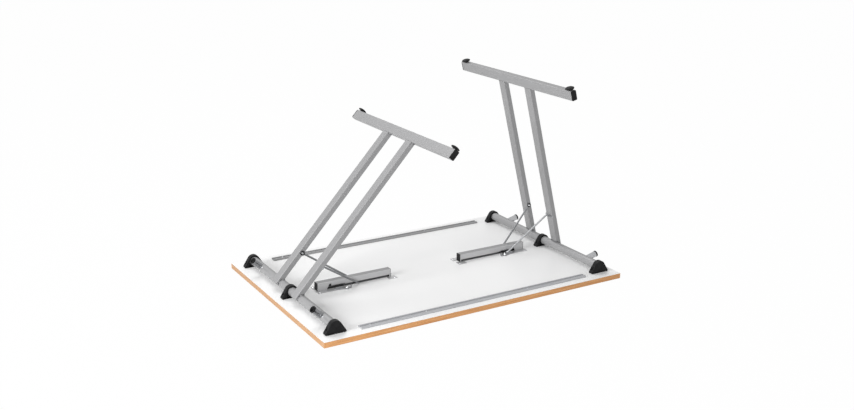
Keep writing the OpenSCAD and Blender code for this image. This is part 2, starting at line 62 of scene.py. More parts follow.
# The Mix node's colour sockets: factor, the two colours and the result.
MIX_FACTOR, MIX_FIRST, MIX_SECOND, MIX_RESULT = 0, 6, 7, 2
# The curve between screen values and linear light.
CHANNEL_MAX, CURVE_KNEE, CURVE_SLOPE, CURVE_OFFSET, CURVE_POWER = 255, 0.04045, 12.92, 0.055, 2.4


class Side(Enum):
    """The two ends of the table: the value is the sign of X."""

    LEFT = -1
    RIGHT = 1

    @property
    def word(self) -> str:
        """The side's word in the names of nodes and bodies."""
        return self.name.lower()


class Row(Enum):
    """The near and far copy of a piece: the value is the sign of Y."""

    NEAR = -1
    FAR = 1

    @property
    def word(self) -> str:
        """The row's word in the names of nodes and bodies."""
        return self.name.lower()


@dataclass(frozen=True)
class Measures:
    """The CAD model's sizes that the scene's own pieces follow, in millimetres and degrees."""

    board_t: float = 19.0
    tube_x: float = 538.0
    tube_z: float = 42.5
    tube_r: float = 15.5
    left_lean: float = 42.5
    right_lean: float = 14.4
    leg_y: float = 81.0
    leg_w: float = 35.0
    leg_t: float = 20.0
    leg_offset: float = 13.0
    leg_tail: float = 12.0
    bar_u: float = 649.0
    socket_near_y: float = -269.0
    socket_far_y: float = 239.0
    socket_reach: float = 54.0
    socket_r: float = 11.0
    bore_r: float = 9.0
    screw_head_h: float = 2.2
    glide_y: float = 325.0

    @property
    def leg_face(self) -> float:
        """How far a leg's inner face lies from its frame's plane through the tube's axis."""
        return self.leg_offset - self.leg_t / 2

    def lean(self, side: Side) -> float:
        """A frame's lean towards the middle at rest, in radians."""
        return math.radians(self.left_lean if side is Side.LEFT else self.right_lean)

    def half(self, side: Side) -> Matrix:
        """The matrix from millimetres on the right half of the top to metres on a side."""
        return Matrix.Scale(MM, 4) @ Matrix.Scale(side.value, 4, MIRROR_AXIS)

    def frame(self, side: Side) -> Matrix:
        """The matrix from a frame's own millimetres to the row's metres, at rest.

        Args:
            side: Which frame. X is out of its plane, Z up its legs, and zero on the tube's axis.

        Returns:
            The matrix.
        """
        move = Matrix.Translation((self.tube_x, 0.0, self.tube_z))
        return self.half(side) @ move @ Matrix.Rotation(-self.lean(side), 4, "Y")


def linear(channel: int) -> float:
    """Undoes the curve of one colour channel.

    Args:
        channel: The channel on the usual 0 to 255 scale.

    Returns:
        Linear light from 0 to 1.
    """
    share = channel / CHANNEL_MAX
    if share <= CURVE_KNEE:
        return share / CURVE_SLOPE
    return ((share + CURVE_OFFSET) / (1 + CURVE_OFFSET)) ** CURVE_POWER


def srgb(red: int, green: int, blue: int) -> Colour:
    """Turns a colour on the usual 0 to 255 scale into linear light with full alpha."""
    return linear(red), linear(green), linear(blue), 1.0


def shaded(colour: Colour, share: float, lift: float = 0.0) -> Colour:
    """Scales a linear colour, and then lifts it by a small amount."""
    red, green, blue = (channel * share + lift for channel in colour[:3])
    return red, green, blue, 1.0


def turns(steps: int) -> list[float]:
    """Angles of equal steps round a full turn."""
    return [step * math.tau / steps for step in range(steps)]


class Sock:
    """An output socket for Python expressions, where each operation adds its Math node."""

    def __init__(self, graph: Graph, link: bpy.types.NodeSocket | None) -> None:
        """Keeps the graph and the socket, which an output node hasn't."""
        self.graph = graph
        self.link = link

    def _math(self, operation: str, first: Operand, second: Operand) -> Sock:
        """Adds a Math node for an operation on two values or sockets."""
        return self.graph.add("ShaderNodeMath", {"operation": operation}, {0: first, 1: second})

    def __add__(self, other: Operand) -> Sock:
        """Sum."""
        return self._math("ADD", self, other)

    def __radd__(self, other: Operand) -> Sock:
        """Sum with a number on the left."""
        return self._math("ADD", other, self)

    def __sub__(self, other: Operand) -> Sock:
        """Difference."""
        return self._math("SUBTRACT", self, other)

    def __rsub__(self, other: Operand) -> Sock:
        """Difference from a number on the left."""
        return self._math("SUBTRACT", other, self)

    def __mul__(self, other: Operand) -> Sock:
        """Product."""
        return self._math("MULTIPLY", self, other)

    def __rmul__(self, other: Operand) -> Sock:
        """Product with a number on the left."""
        return self._math("MULTIPLY", other, self)

    def __pow__(self, other: Operand) -> Sock:
        """Power."""
        return self._math("POWER", self, other)

    def at_most(self, other: Operand) -> Sock:
        """The smaller of two values."""
        return self._math("MINIMUM", self, other)

    def at_least(self, other: Operand) -> Sock:
        """The larger of two values."""
        return self._math("MAXIMUM", self, other)


Operand = Sock | float | int


class Graph:
    """A material's or the world's node tree."""

    def __init__(self, tree: bpy.types.NodeTree) -> None:
        """Starts from an empty tree."""
        self.tree = tree
        tree.nodes.clear()

    def add(
        self,
        kind: str,
        settings: Mapping[str, object] | None = None,
        inputs: Mapping[int | str, object] | None = None,
        output: int | str = 0,
    ) -> Sock:
        """Adds one node.

        Args:
            kind: The node's type.
            settings: Properties, such as a Math node's operation, which are set first.
            inputs: Values or sockets by input name or index.
            output: The output to hand back.

        Returns:
            That output.
        """
        node = self.tree.nodes.new(kind)
        for key, value in (settings or {}).items():
            setattr(node, key, value)
        for key, value in (inputs or {}).items():
            if isinstance(value, Sock):
                self.tree.links.new(value.link, node.inputs[key])
            else:
                node.inputs[key].default_value = value
        return Sock(self, node.outputs[output] if node.outputs else None)

    def place(self) -> Sock:
        """The point on the object, in metres, which rides with its body."""
        return self.add("ShaderNodeTexCoord", output="Object")

    def vector(self, operation: str, first: object, second: object, output: str = "Vector") -> Sock:
        """Works on two vectors, and hands back the output "Value" where that is a number."""
        settings = {"operation": operation}
        return self.add("ShaderNodeVectorMath", settings, {0: first, 1: second}, output)

    def noise(self, scale: float | Triple, detail: float = 2.0, roughness: float = 0.5) -> Sock:
        """Noise from 0 to 1.

        Args:
            scale: Cells in a metre, one for all axes or one for each.
            detail: Octaves.
            roughness: Share of the finer octaves.

        Returns:
            The noise's value.
        """
        axes = (scale,) * 3 if isinstance(scale, (int, float)) else scale
        spot = self.vector("MULTIPLY", self.place(), axes)
        inputs = {"Vector": spot, "Scale": 1.0, "Detail": detail, "Roughness": roughness}
        return self.add("ShaderNodeTexNoise", {}, inputs)

    def ramp(self, value: Operand, span: Span) -> Sock:
        """Goes smoothly from 0 to 1 over a span of a value."""
        inputs = {"Value": value, "From Min": span[0], "From Max": span[1]}
        return self.add("ShaderNodeMapRange", {"interpolation_type": "SMOOTHSTEP"}, inputs)

    def above(self, height: float, blend: float) -> Sock:
        """0 up to a height in metres, and 1 from a blend's height over it."""
        level = self.add("ShaderNodeSeparateXYZ", {}, {0: self.place()}, output="Z")
        return self.ramp(level, (height, height + blend))

    def mix(self, factor: Operand, first: object, second: object) -> Sock:
        """Mixes two colours."""
        inputs = {MIX_FACTOR: factor, MIX_FIRST: first, MIX_SECOND: second}
        return self.add("ShaderNodeMix", {"data_type": "RGBA"}, inputs, MIX_RESULT)

    def bump(self, height: Sock, strength: float, distance: float, normal: Sock) -> Sock:
        """Turns a height into a normal.

        Args:
            height: Height from 0 to 1.
            strength: Share of the effect.
            distance: Height in metres of a value of 1.
            normal: Normal underneath.

        Returns:
            The normal.
        """
        inputs = {"Height": height, "Strength": strength, "Distance": distance, "Normal": normal}
        return self.add("ShaderNodeBump", {}, inputs)

    def edges(self, radius: float, samples: int = 4) -> Sock:
        """Normal with softly rounded edges."""
        return self.add("ShaderNodeBevel", {"samples": samples}, {"Radius": radius})


@dataclass(frozen=True)
class Finish:
    """A surface finish, from which one material is made."""

    name: str
    colour: Colour
    roughness: float
    metallic: float = 0.0
    coat: float = 0.0
    specular: float = 0.5
    edge_radius: float = 0.4 * MM

    def surface(self, graph: Graph) -> Inputs:
        """The shader inputs that vary over the surface: none on the plain finish."""
        return {}

    def gloss(self, pattern: Sock, below: float, swing: float) -> Sock:
        """The roughness, which starts below the finish's own and rises with a pattern."""
        return self.roughness - below + pattern * swing

    def relief(self, graph: Graph, height: Sock, strength: float, depth: float) -> Sock:
        """Normal of a relief over the softly rounded edges, with its depth in metres."""
        return graph.bump(height, strength, depth, graph.edges(self.edge_radius))

    def material(self) -> bpy.types.Material:
        """Makes the material.

        Returns:
            A new Blender material with the finish's nodes.
        """
        material = bpy.data.materials.new(self.name)
        material.use_nodes = True
        graph = Graph(material.node_tree)
        inputs: Inputs = {
            "Base Color": self.colour,
            "Roughness": self.roughness,
            "Metallic": self.metallic,
            "Coat Weight": self.coat,
            "Specular IOR Level": self.specular,
            "Normal": graph.edges(self.edge_radius),
        }
        inputs.update(self.surface(graph))
        shader = graph.add("ShaderNodeBsdfPrincipled", {}, inputs)
        graph.add("ShaderNodeOutputMaterial", {}, {"Surface": shader})
        material.diffuse_color = self.colour
        return material


@dataclass(frozen=True)
class PowderCoat(Finish):
    """Silver powder coat: fine metal flake, clouds in tone and gloss, and a fine orange peel."""

    flake_scale: float = 2600.0
    flake_span: Span = (0.35, 0.7)
    flake_share: float = 0.25
    cloud_scale: float = 9.0
    dark_share: float = 0.95
    light_share: float = 1.045
    gloss_below: float = 0.05
    gloss_swing: float = 0.1
    peel_scale: float = 420.0
    peel_strength: float = 0.05
    peel_depth: float = 0.05 * MM

    def surface(self, graph: Graph) -> Inputs:
        """Flake and clouds in the colour, clouds in the gloss and the peel in the normal.

        Args:
            graph: The material's node tree.

        Returns:
            These inputs.
        """
        flake = graph.ramp(graph.noise(self.flake_scale, detail=1.0), self.flake_span)
        cloud = graph.noise(self.cloud_scale, detail=3.0)
        tone = flake * self.flake_share + cloud * (1 - self.flake_share)
        dark, light = shaded(self.colour, self.dark_share), shaded(self.colour, self.light_share)
        peel = graph.noise(self.peel_scale)
        return {
            "Base Color": graph.mix(tone, dark, light),
            "Roughness": self.gloss(cloud, self.gloss_below, self.gloss_swing),
            "Normal": self.relief(graph, peel, self.peel_strength, self.peel_depth),
        }


@dataclass(frozen=True)
class PressedSheet(PowderCoat):
    """The housings' coated sheet, with painted shade on its roof."""

    roof_z: float = 48.2 * MM
    roof_blend: float = 0.6 * MM
    roof_shade_share: float = 0.55

    def surface(self, graph: Graph) -> Inputs:
        """Paints shade on the roof of the housing.

        Args:
            graph: The material's node tree.

        Returns:
            The coat's inputs with that.
        """
        inputs = super().surface(graph)
        # The roof's darker colour is painted shade.
        on_roof = graph.above(self.roof_z, self.roof_blend)
        roof = shaded(self.colour, self.roof_shade_share)
        inputs["Base Color"] = graph.mix(on_roof, inputs["Base Color"], roof)
        return inputs


@dataclass(frozen=True)
class WeldSeam(Finish):
    """Bare weld bead: burnt dark and bright metal in patches."""

    burnt: Colour = srgb(58, 58, 60)
    patch_scale: float = 240.0
    patch_span: Span = (0.42, 0.62)
    burnt_roughness: float = 0.55
    bright_gain: float = 0.3

    def surface(self, graph: Graph) -> Inputs:
        """Patches in colour and gloss.

        Args:
            graph: The material's node tree.

        Returns:
            These inputs.
        """
        patch = graph.ramp(graph.noise(self.patch_scale), self.patch_span)
        return {
            "Base Color": graph.mix(patch, self.burnt, self.colour),
            "Roughness": self.burnt_roughness - patch * self.bright_gain,
        }


@dataclass(frozen=True)
class ZincPlate(Finish):
    """Bright zinc plate with fine draw marks along one axis and clouded gloss."""

    draw: Triple = (60.0, 2200.0, 2200.0)
    draw_strength: float = 0.2
    draw_depth: float = 0.03 * MM
    spangle_scale: float = 180.0
    spangle_span: Span = (0.3, 0.7)
    dull_share: float = 0.78
    gloss_below: float = 0.06
    gloss_swing: float = 0.16

    def surface(self, graph: Graph) -> Inputs:
        """Draw marks in gloss and normal, spangle in the colour.

        Args:
            graph: The material's node tree.

        Returns:
            These inputs.
        """
        marks = graph.noise(self.draw, detail=3.0, roughness=0.6)
        spangle = graph.ramp(graph.noise(self.spangle_scale), self.spangle_span)
        return {
            "Base Color": graph.mix(spangle, shaded(self.colour, self.dull_share), self.colour),
            "Roughness": self.gloss(marks, self.gloss_below, self.gloss_swing),
            "Normal": self.relief(graph, marks, self.draw_strength, self.draw_depth),
        }


@dataclass(frozen=True)
class SocketZinc(ZincPlate):
    """Zinc plate on the sockets, with painted shade inside their bores."""

    side: Side = Side.LEFT
    size: Measures = Measures()
    bore_shade: Colour = srgb(30, 30, 31)
    bore_shade_roughness: float = 0.8
    bore_edge: Span = (0.2, 0.5)

    def surface(self, graph: Graph) -> Inputs:
        """Paints shade on what lies hardly further from the sockets' axes than their bores' wall.

        Args:
            graph: The material's node tree.

        Returns:
            The plate's inputs with that.
        """
        inputs = super().surface(graph)
        start, end = ((self.size.bore_r + gap) * MM for gap in self.bore_edge)
        # The near-black in the bores is painted shade.
        inside = 1.0 - graph.ramp(self._radius(graph), (start, end))
        inputs["Base Color"] = graph.mix(inside, inputs["Base Color"], self.bore_shade)
        inputs["Metallic"] = self.metallic - inside * self.metallic
        inputs["Roughness"] = inputs["Roughness"].at_least(inside * self.bore_shade_roughness)
        return inputs

    def _radius(self, graph: Graph) -> Sock:
        """Measures how far a point lies from the nearer socket's axis.

        Args:
            graph: The material's node tree.

        Returns:
            The distance in metres.
        """
        size, sign = self.size, self.side.value
        lean = size.lean(self.side)
        up = (-sign * math.sin(lean), 0.0, math.cos(lean))
        tube = (sign * size.tube_x * MM, 0.0, size.tube_z * MM)
        spot = graph.place()
        across = graph.vector("DOT_PRODUCT", graph.vector("SUBTRACT", spot, tube), up, "Value")
        along = graph.vector("DOT_PRODUCT", spot, (0.0, 1.0, 0.0), "Value")
        middle = (size.socket_near_y + size.socket_far_y) / 2 * MM
        reach = (size.socket_far_y - size.socket_near_y) / 2 * MM
        offset = ((along - middle) ** 2.0) ** 0.5 - reach
        return (across * across + offset * offset) ** 0.5


@dataclass(frozen=True)
class MouldedPlastic(Finish):
    """Black moulded plastic with an eroded grain that shines a little where it is rubbed."""

    grain_scale: float = 1300.0
    grain_strength: float = 0.35
    grain_depth: float = 0.08 * MM
    cloud_scale: float = 60.0
    cloud_span: Span = (0.35, 0.75)
    grey_share: float = 1.7
    grey_lift: float = 0.003
    gloss_below: float = 0.06
    gloss_swing: float = 0.12

    def surface(self, graph: Graph) -> Inputs:
        """Grain in the normal, clouds in gloss and colour.

        Args:
            graph: The material's node tree.

        Returns:
            These inputs.
        """
        cloud = graph.noise(self.cloud_scale, detail=3.0)
        grain = graph.noise(self.grain_scale, roughness=0.6)
        grey = shaded(self.colour, self.grey_share, self.grey_lift)
        return {
            "Base Color": graph.mix(graph.ramp(cloud, self.cloud_span), self.colour, grey),
            "Roughness": self.gloss(cloud, self.gloss_below, self.gloss_swing),
            "Normal": self.relief(graph, grain, self.grain_strength, self.grain_depth),
        }


@dataclass(frozen=True)
class Melamine(Finish):
    """White melamine face: a pearl texture under the varnish and a faint cloud in the white."""

    pearl_scale: float = 700.0
    pearl_strength: float = 0.18
    pearl_depth: float = 0.05 * MM
    cloud_scale: float = 5.0
    shade_share: float = 0.975
    gloss_below: float = 0.05
    gloss_swing: float = 0.1

    def surface(self, graph: Graph) -> Inputs:
        """Pearl in the normal, clouds in colour and gloss.

        Args:
            graph: The material's node tree.

        Returns:
            These inputs.
        """
        cloud = graph.noise(self.cloud_scale, detail=4.0)
        pearl = graph.noise(self.pearl_scale)
        return {
            "Base Color": graph.mix(cloud, shaded(self.colour, self.shade_share), self.colour),
            "Roughness": self.gloss(cloud, self.gloss_below, self.gloss_swing),
            "Normal": self.relief(graph, pearl, self.pearl_strength, self.pearl_depth),
        }


@dataclass(frozen=True)
class BeechBand(Finish):
    """Beech edge band: long grain, short dark flecks and a satin varnish."""

    along: Triple = (7.0, 420.0, 420.0)
    grain_span: Span = (0.3, 0.72)
    grain_strength: float = 0.25
    grain_depth: float = 0.06 * MM
    fleck: Triple = (120.0, 1500.0, 1500.0)
    fleck_span: Span = (0.62, 0.72)
    fleck_share: float = 0.35
    fleck_sink: float = 0.3
    gloss_below: float = 0.05
    gloss_swing: float = 0.1
    dark: Colour = srgb(186, 128, 76)
    face: Colour = srgb(248, 248, 248)
    face_z: float = 18.8 * MM
    face_blend: float = 0.1 * MM

    def surface(self, graph: Graph) -> Inputs:
        """Grain and flecks in colour, gloss and normal, under the face that laps over the band.

        Args:
            graph: The material's node tree.

        Returns:
            These inputs.
        """
        grain = graph.noise(self.along, detail=4.0, roughness=0.6)
        flecks = graph.ramp(graph.noise(self.fleck, detail=1.0), self.fleck_span)
        plain = graph.mix(graph.ramp(grain, self.grain_span), self.dark, self.colour)
        wood = graph.mix(flecks * self.fleck_share, plain, self.dark)
        relief = grain - flecks * self.fleck_sink
        return {
            "Base Color": graph.mix(graph.above(self.face_z, self.face_blend), wood, self.face),
            "Roughness": self.gloss(grain, self.gloss_below, self.gloss_swing),
            "Normal": self.relief(graph, relief, self.grain_strength, self.grain_depth),
        }


@dataclass
class Paintbox:
    """All finishes of the table, each made once."""

    made: dict[str, bpy.types.Material] = field(default_factory=dict)

    def get(self, finish: Finish) -> bpy.types.Material:
        """Hands out a finish's material, and makes it on first use.

        Args:
            finish: The finish.

        Returns:
            Its material.
        """
        if finish.name not in self.made:
            self.made[finish.name] = finish.material()
        return self.made[finish.name]


MELAMINE = Melamine("white_melamine", srgb(248, 248, 248), 0.42)
BEECH_LONG = BeechBand("beech_band_long", srgb(222, 168, 112), 0.45)
# The short bands' darker, paler beech is painted shade on the same wood as the long bands.
BEECH_SHORT = BeechBand(
    "beech_band_short",
    srgb(190, 149, 108),
    0.45,
    along=(420.0, 7.0, 420.0),
    fleck=(1500.0, 120.0, 1500.0),
    dark=srgb(165, 123, 84),
)
SILVER = PowderCoat("silver_powder_coat", srgb(147, 147, 148), 0.4, metallic=0.25, specular=0.3)
# The same silver coat lighter, as painted light, for the near rail.
LIT_SILVER = PowderCoat(
    "silver_coat_painted_light", srgb(172, 173, 176), 0.4, metallic=0.25, specular=0.3
)
PRESSED = PressedSheet("pressed_sheet", srgb(186, 186, 187), 0.34, metallic=0.5, specular=0.3)
WELD = WeldSeam("weld_seam", srgb(140, 140, 142), 0.4, metallic=0.6)
BRIGHT = ZincPlate("bright_screws", srgb(232, 233, 235), 0.22, metallic=1.0)
ZINC = ZincPlate("zinc_plate", srgb(176, 177, 179), 0.26, metallic=1.0)
# The zinc plate darker, as painted shade, and a little rougher.
SHADED_ZINC = ZincPlate("zinc_plate_painted_shade", srgb(138, 139, 141), 0.34, metallic=1.0)
# The right sockets' lighter zinc is a painted highlight over the same plate as the left ones.
SOCKET = {
    side: SocketZinc(f"{side.word}_socket_zinc", colour, 0.14, metallic=1.0, side=side)
    for side, colour in ((Side.LEFT, srgb(140, 141, 143)), (Side.RIGHT, srgb(182, 183, 185)))
}
OXIDE = PowderCoat("dark_oxide", srgb(60, 60, 61), 0.5, metallic=0.6)
BLACK = MouldedPlastic("black_moulded_plastic", srgb(14, 14, 15), 0.5, specular=0.16)
# Painted shade for the walls, roof and back floor inside the housings.
HOUSING_SHADE = MouldedPlastic("painted_housing_shade", srgb(54, 54, 55), 0.8, specular=0.1)
# Paler painted shade for the housing floor under the slots.
SHADED_FLOOR = Finish("shaded_floor", srgb(132, 132, 133), 0.85, specular=0.1)
# Painted shade in the screws' cross recesses.
RECESS_SHADE = Finish("painted_recess_shade", srgb(20, 20, 21), 0.85, specular=0.1)


@dataclass(frozen=True)
class Bead:
    """Section of a weld bead: a round bar with a ripple in its radius."""

    radius: float = 2.6
    ripple: float = 0.5
    pitch: float = 3.2
    sides: int = 8
    end_share: float = 0.35

    def ring(self, run: float, at_end: bool) -> list[Vector]:
        """Points round the bead.

        Args:
            run: Length of the path up to here.
            at_end: Whether the path starts or ends here.

        Returns:
            The points, in the plane across the path.
        """
        share = self.end_share if at_end else 1.0
        radius = share * (self.radius + self.ripple * math.sin(run / self.pitch * math.tau))
        angles = turns(self.sides)
        return [Vector((radius * math.cos(a), radius * math.sin(a), 0.0)) for a in angles]


class Form:
    """A mesh in the making, in millimetres: closed, and with its faces turned outwards at last."""

    def __init__(self) -> None:
        """Starts empty."""
        self.mesh = bmesh.new()

    def _skin(self, rings: Sequence[Sequence[Vector]], closed: bool) -> None:
        """Joins rings of points with quads.

        Args:
            rings: Rings with the same number of points.
            closed: Joins the last ring to the first, or else caps both ends.
        """
        rows = [[self.mesh.verts.new(point) for point in ring] for ring in rings]
        count = len(rows[0])
        pairs = list(zip(rows, rows[1:])) + ([(rows[-1], rows[0])] if closed else [])
        for one, two in pairs:
            for i in range(count):
                j = (i + 1) % count
                self.mesh.faces.new((one[i], one[j], two[j], two[i])).smooth = True
        if not closed:
            for row in (rows[0], rows[-1]):
                self.mesh.faces.new(row)

    def bead(self, path: Sequence[Vector], bead: Bead) -> None:
        """Lays a weld bead along a path.

        Args:
            path: Points of the path.
            bead: The bead's section.
        """
        rings, run, last = [], 0.0, len(path) - 1
        for index, point in enumerate(path):
            before, after = path[max(index - 1, 0)], path[min(index + 1, last)]
            turn = (after - before).to_track_quat("Z", "Y").to_matrix()
            run += (point - before).length
            rings.append([point + turn @ spot for spot in bead.ring(run, index in (0, last))])
        self._skin(rings, closed=False)

    def collar(self, section: Sequence[Span], centre: Vector, steps: int = 48) -> None:
        """Turns a closed section round an axis along X.

        Args:
            section: Places along X and radii.
            centre: A point on the axis.
            steps: Steps round the axis.
        """
        rings = [
            [centre + Vector((x, r * math.cos(turn), r * math.sin(turn))) for x, r in section]
            for turn in turns(steps)
        ]
        self._skin(rings, closed=True)

    def plate(self, outline: Sequence[Span], low: float, high: float, pose: Matrix) -> None:
        """Raises an outline to a plate.

        Args:
            outline: Corners in order.
            low: Underside.
            high: Upper side.
            pose: The plate's place.
        """
        rings = [[pose @ Vector((x, y, z)) for x, y in outline] for z in (low, high)]
        self._skin(rings, closed=False)
        for face in self.mesh.faces:
            face.smooth = False

    def sheet(self, x: Span, y: Span, z: Span) -> None:
        """Lays a flat sheet between a low and a high along each axis."""
        outline = [(x[0], y[0]), (x[1], y[0]), (x[1], y[1]), (x[0], y[1])]
        self.plate(outline, z[0], z[1], Matrix())

    def finish(self, name: str, pose: Matrix) -> bpy.types.Mesh:
        """Closes the work.

        Args:
            name: The mesh's name.
            pose: The matrix to the row's metres.

        Returns:
            The finished mesh.
        """
        self.mesh.transform(pose)
        bmesh.ops.recalc_face_normals(self.mesh, faces=self.mesh.faces[:])
        done = bpy.data.meshes.new(name)
        self.mesh.to_mesh(done)
        self.mesh.free()
        return done


def cross_outline(arm: float, width: float) -> list[Span]:
    """Corners of a cross.

    Args:
        arm: Length of an arm from the middle.
        width: Width of an arm.

    Returns:
        The twelve corners in order.
    """
    half = width / 2
    quarter = [(half, half), (half, arm), (-half, arm)]
    quarter_turns = [(1, 0), (0, 1), (-1, 0), (0, -1)]
    return [(x * c - y * s, x * s + y * c) for c, s in quarter_turns for x, y in quarter]


@dataclass
class Workshop:
    """What every sub-assembly needs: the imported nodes, the finishes and the sizes."""

    nodes: dict[str, bpy.types.Object]
    paints: Paintbox
    size: Measures = field(default_factory=Measures)

    def dress(self, finish: Finish, *names: str) -> None:
        """Gives CAD nodes a finish.

        Args:
            finish: The finish.
            *names: The nodes' names.
        """
        for name in names:
            node = self.nodes[name]
            node.data.materials.clear()
            node.data.materials.append(self.paints.get(finish))
            LOG.info("%s: %s", name, finish.name)

    def piece(self, name: str, mesh: bpy.types.Mesh, finish: Finish, body: str, slot: str) -> None:
        """Adds a piece of the scene's own.

        Args:
            name: The piece's name.
            mesh: Its mesh, in the row's frame.
            finish: Its finish.
            body: The CAD body that it rides on.
            slot: The record's material slot; not used.
        """
        made = bpy.data.objects.new(name, mesh)
        bpy.context.scene.collection.objects.link(made)
        mesh.materials.append(self.paints.get(finish))
        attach(made, body)
        LOG.info("%s rides on %s: %s", name, body, finish.name)


@dataclass
class Recesses:
    """Cross recesses in the heads of screws, drawn as dark crosses of painted shade."""

    shop: Workshop
    arm: float = 2.2
    width: float = 1.1
    depth: float = 0.3
    proud: float = 0.04

    def cut(self, name: str, body: str, places: Iterable[Matrix], pose: Matrix) -> None:
        """Marks the recesses of one group of screws with crosses of painted shade.

        Args:
            name: The piece's name.
            body: The body that the screws ride on.
            places: The head tops' middles, Z out of the head, in millimetres.
            pose: The matrix to the row's metres.
        """
        form = Form()
        for place in places:
            form.plate(cross_outline(self.arm, self.width), -self.depth, self.proud, place)
        self.shop.piece(name, form.finish(name, pose), RECESS_SHADE, body, "dark_steel")


@dataclass
class TableTop:
    """The coated board with its four edge bands."""

    shop: Workshop

    def build(self) -> None:
        """Dresses board and bands."""
        self.shop.dress(MELAMINE, "top_board")
        self.shop.dress(BEECH_LONG, "long_edge_bands")
        self.shop.dress(BEECH_SHORT, "short_edge_bands")


@dataclass
class Rails:
    """The two rolled rails with their screws, each stopped at a turn of its own."""

    shop: Workshop
    rail_y: float = 356.0
    rail_x: float = 6.0
    seat_h: float = 4.0
    screw_step: float = 209.0
    screws: int = 5
    turn_step: float = 1.3

    def build(self) -> None:
        """Dresses rails and screws, and marks the screws."""
        # The near rail's lighter coat is painted light; the far rail has the plain silver.
        self.shop.dress(LIT_SILVER, "near_rail")
        self.shop.dress(SILVER, "far_rail")
        self.shop.dress(ZINC, "rail_screws")
        size = self.shop.size
        top = size.board_t + self.seat_h + size.screw_head_h
        start = self.rail_x - (self.screws - 1) / 2 * self.screw_step
        places = [
            Matrix.Translation((start + i * self.screw_step, row.value * self.rail_y, top))
            @ Matrix.Rotation(i * self.turn_step + row.value, 4, "Z")
            for row in Row
            for i in range(self.screws)
        ]
        Recesses(self.shop).cut("rail_screw_recesses", "top", places, Matrix.Scale(MM, 4))


@dataclass
class Bearings:
    """The six bearing blocks with their screws."""

    shop: Workshop

    def build(self) -> None:
        """Dresses blocks and screws."""
        for side in Side:
            for place in ("near", "middle", "far"):
                self.shop.dress(BLACK, f"{side.word}_{place}_bearing")
        self.shop.dress(BLACK, "bearing_screws")


@dataclass
class Housings:
    """The slide housings with caps, screws, sliding blocks and latch hooks."""

    shop: Workshop
    inner_x: float = 151.5
    outer_x: float = 438.5
    inner_w: float = 20.0
    roof_z: float = 47.0
    slot_z: float = 28.8
    wedge_x: float = 332.0
    lining_t: float = 0.08
    lining_gap: float = 0.02
    flange_h: float = 1.5
    flange_screw_y: float = 28.0
    flange_screw_x: Span = (141.0, 438.0)
    latch_screw: Triple = (338.0, -36.0, 28.8)

    def build(self) -> None:
        """Dresses the housings and what runs in them, and paints shade inside them."""
        self.shop.dress(PRESSED, "left_housing", "right_housing")
        self.shop.dress(BLACK, "housing_end_caps")
        self.shop.dress(ZINC, "left_latch_hook", "right_latch_hook")
        self.shop.dress(BRIGHT, "housing_screws", "latch_screws")
        self.shop.dress(OXIDE, "left_slider", "right_slider")
        for side in Side:
            self._paint_shade(side)
            self._recesses(side)

    def _paint_shade(self, side: Side) -> None:
        """Lays sheets of painted shade inside a housing: dark ones on the walls, the roof and the
        floor, and a paler one on the floor under the slots' plain part.

        Args:
            side: Which housing.
        """
        thick, floor = self.lining_t, self.shop.size.board_t
        wall = self.inner_w / 2 - self.lining_gap
        roof = self.roof_z - self.lining_gap
        width, ends = (-wall, wall), (self.inner_x, self.outer_x)
        # Sheets of painted shade, not parts of the housing.
        shade_sheets, pale = Form(), Form()
        pale.sheet((self.inner_x, self.wedge_x), width, (floor, floor + thick))
        shade_sheets.sheet((self.wedge_x, self.outer_x), width, (floor, floor + thick))
        shade_sheets.sheet(ends, width, (roof - thick, roof))
        for face in ((-wall, thick - wall), (wall - thick, wall)):
            shade_sheets.sheet(ends, face, (self.slot_z, roof - 2 * thick))
        pose = self.shop.size.half(side)
        for what, form, finish in (("lining", shade_sheets, HOUSING_SHADE), ("floor", pale, SHADED_FLOOR)):
            name = f"{side.word}_housing_{what}"
            self.shop.piece(name, form.finish(name, pose), finish, "top", "dark_steel")

    def _recesses(self, side: Side) -> None:
        """Marks the screws of a housing, each stopped at a turn of its own.

        Args:
            side: Which housing.
        """
        size = self.shop.size
        top = size.board_t + self.flange_h + size.screw_head_h
        places = [
            Matrix.Translation((x, row.value * self.flange_screw_y, top))
            @ Matrix.Rotation(x + row.value, 4, "Z")
            for x in self.flange_screw_x
            for row in Row
        ]
        places.append(Matrix.Translation(self.latch_screw))
        name = f"{side.word}_housing_screw_recesses"
        Recesses(self.shop).cut(name, "top", places, size.half(side))


